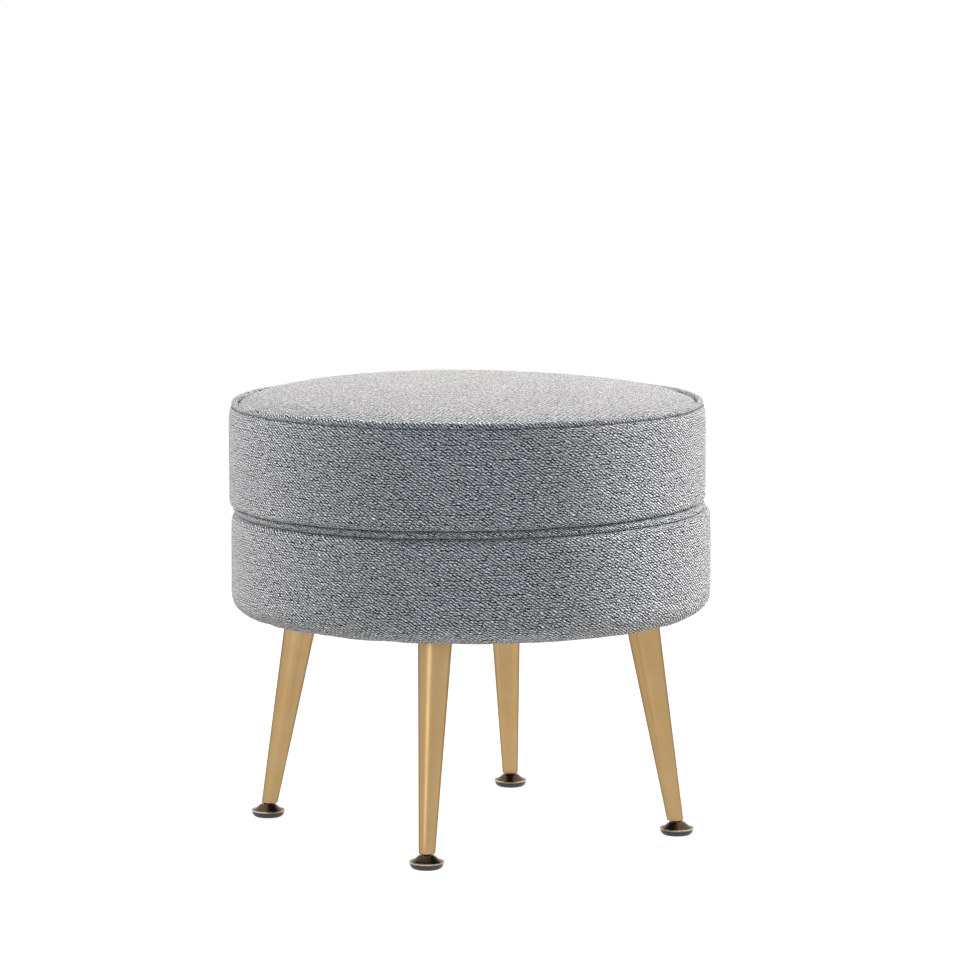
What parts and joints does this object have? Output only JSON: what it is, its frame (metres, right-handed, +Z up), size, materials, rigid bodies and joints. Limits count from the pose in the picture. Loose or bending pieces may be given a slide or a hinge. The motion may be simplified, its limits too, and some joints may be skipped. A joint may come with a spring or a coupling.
{
  "type": "upholstered ottoman",
  "caption": "Round upholstered ottoman: a crowned, welted seat over a matching lower drum, on splayed tapered metal legs with levelling swivel glides.",
  "frame": {"origin": "on the floor under the middle of the drum, level with the undersides of the glides", "axes": "+Z up through the seat's crown; leg 1 stands on +X, leg 2 on +Y, leg 3 on -X and leg 4 on -Y"},
  "size_m": [0.473, 0.473, 0.4486],
  "materials": {
    "cover": "grey heathered twill weave",
    "dust_cloth": "black spunbonded cloth",
    "foam": "cream cut foam",
    "plywood": "bare plywood",
    "hardboard": "bare hardboard",
    "zinc_steel": "zinc plated",
    "satin_brass": "satin brass plate",
    "antique_brass": "antique brass plate",
    "glide_black": "black moulded plastic"
  },
  "bodies": {
    "frame": {"top_panel": "cover", "top_welt": "cover", "upper_band": "cover", "waist_welt": "cover", "lower_band": "cover", "dust_cover": "dust_cloth", "seat_foam": "foam", "lower_foam": "foam", "seat_board": "plywood", "frame_ring": "plywood", "base_board": "plywood", "side_wall": "hardboard", "post_1": "plywood", "post_2": "plywood", "post_3": "plywood", "post_4": "plywood", "seat_bolt_1": "zinc_steel", "seat_bolt_2": "zinc_steel", "seat_bolt_3": "zinc_steel", "seat_bolt_4": "zinc_steel", "leg_1": "satin_brass", "leg_2": "satin_brass", "leg_3": "satin_brass", "leg_4": "satin_brass", "leg_plate_1": "zinc_steel", "leg_plate_2": "zinc_steel", "leg_plate_3": "zinc_steel", "leg_plate_4": "zinc_steel", "leg_insert_1": "zinc_steel", "leg_insert_2": "zinc_steel", "leg_insert_3": "zinc_steel", "leg_insert_4": "zinc_steel", "leg_screw_1_1": "zinc_steel", "leg_screw_1_2": "zinc_steel", "leg_screw_1_3": "zinc_steel", "leg_screw_2_1": "zinc_steel", "leg_screw_2_2": "zinc_steel", "leg_screw_2_3": "zinc_steel", "leg_screw_3_1": "zinc_steel", "leg_screw_3_2": "zinc_steel", "leg_screw_3_3": "zinc_steel", "leg_screw_4_1": "zinc_steel", "leg_screw_4_2": "zinc_steel", "leg_screw_4_3": "zinc_steel"},
    "stem_1": {"glide_stem_1": "antique_brass"},
    "stem_2": {"glide_stem_2": "antique_brass"},
    "stem_3": {"glide_stem_3": "antique_brass"},
    "stem_4": {"glide_stem_4": "antique_brass"},
    "glide_1": {"glide_cap_1": "antique_brass", "glide_base_1": "glide_black"},
    "glide_2": {"glide_cap_2": "antique_brass", "glide_base_2": "glide_black"},
    "glide_3": {"glide_cap_3": "antique_brass", "glide_base_3": "glide_black"},
    "glide_4": {"glide_cap_4": "antique_brass", "glide_base_4": "glide_black"}
  },
  "joints": [
    {"name": "level_1", "type": "slide", "parent": "frame", "child": "stem_1", "axis": [0.1736, 0, -0.9848], "range_m": [0, 0.01]},
    {"name": "level_2", "type": "slide", "parent": "frame", "child": "stem_2", "axis": [0, 0.1736, -0.9848], "range_m": [0, 0.01]},
    {"name": "level_3", "type": "slide", "parent": "frame", "child": "stem_3", "axis": [-0.1736, 0, -0.9848], "range_m": [0, 0.01]},
    {"name": "level_4", "type": "slide", "parent": "frame", "child": "stem_4", "axis": [0, -0.1736, -0.9848], "range_m": [0, 0.01]},
    {"name": "swivel_1", "type": "hinge", "parent": "stem_1", "child": "glide_1", "pos_m": [0.20838, 0, 0.006], "axis": [0, 1, 0], "range_deg": [-7, 7]},
    {"name": "swivel_2", "type": "hinge", "parent": "stem_2", "child": "glide_2", "pos_m": [0, 0.20838, 0.006], "axis": [-1, 0, 0], "range_deg": [-7, 7]},
    {"name": "swivel_3", "type": "hinge", "parent": "stem_3", "child": "glide_3", "pos_m": [-0.20838, 0, 0.006], "axis": [0, -1, 0], "range_deg": [-7, 7]},
    {"name": "swivel_4", "type": "hinge", "parent": "stem_4", "child": "glide_4", "pos_m": [0, -0.20838, 0.006], "axis": [1, 0, 0], "range_deg": [-7, 7]}
  ]
}
